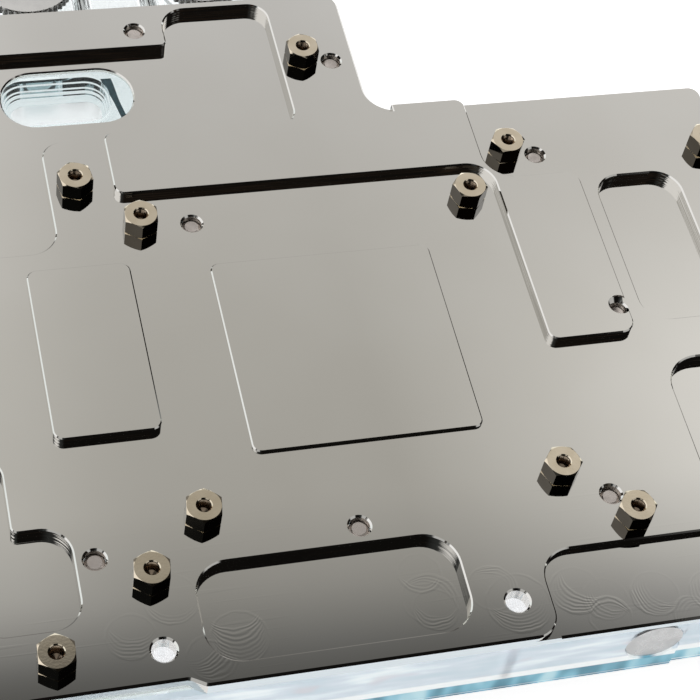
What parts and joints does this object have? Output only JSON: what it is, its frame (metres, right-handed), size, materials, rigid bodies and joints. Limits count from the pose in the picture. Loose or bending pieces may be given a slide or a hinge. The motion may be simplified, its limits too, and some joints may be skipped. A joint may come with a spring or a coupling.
{
  "type": "liquid cooling cold plate",
  "caption": "Full-cover liquid cooling cold plate for a graphics card: nickel-plated contact plate with pads, pockets and standoffs on a clear acrylic cover with threaded ports.",
  "frame": {"origin": "centre of the chip contact face", "axes": "+Z out of the contact side, square to the chip contact face; +Y towards the terminal block with the ports; +X to the right seen from the contact side"},
  "size_m": [0.1455, 0.1449, 0.0173],
  "materials": {
    "plate": "polished nickel plating with faint milling swirls",
    "acrylic": "clear, polished",
    "seals": "matte",
    "jet_steel": "satin",
    "plugs": "polished, knurled rim",
    "screws": "satin",
    "standoffs": "polished nickel plating on brass",
    "disc": "satin"
  },
  "bodies": {
    "root": {"cold_plate": "plate", "cover": "acrylic", "terminal_block": "acrylic", "main_gasket": "seals", "island_seal": "seals", "inlet_seal": "seals", "outlet_seal": "seals", "inlet_plug_seal": "seals", "outlet_plug_seal": "seals", "jet_plate": "jet_steel", "inlet_plug": "plugs", "outlet_plug": "plugs", "cover_screws": "screws", "terminal_screws": "screws", "badge_disc": "disc", "standoff_01": "standoffs", "standoff_02": "standoffs", "standoff_03": "standoffs", "standoff_04": "standoffs", "standoff_05": "standoffs", "standoff_06": "standoffs", "standoff_07": "standoffs", "standoff_08": "standoffs", "standoff_09": "standoffs", "standoff_10": "standoffs", "standoff_11": "standoffs"}
  },
  "joints": []
}
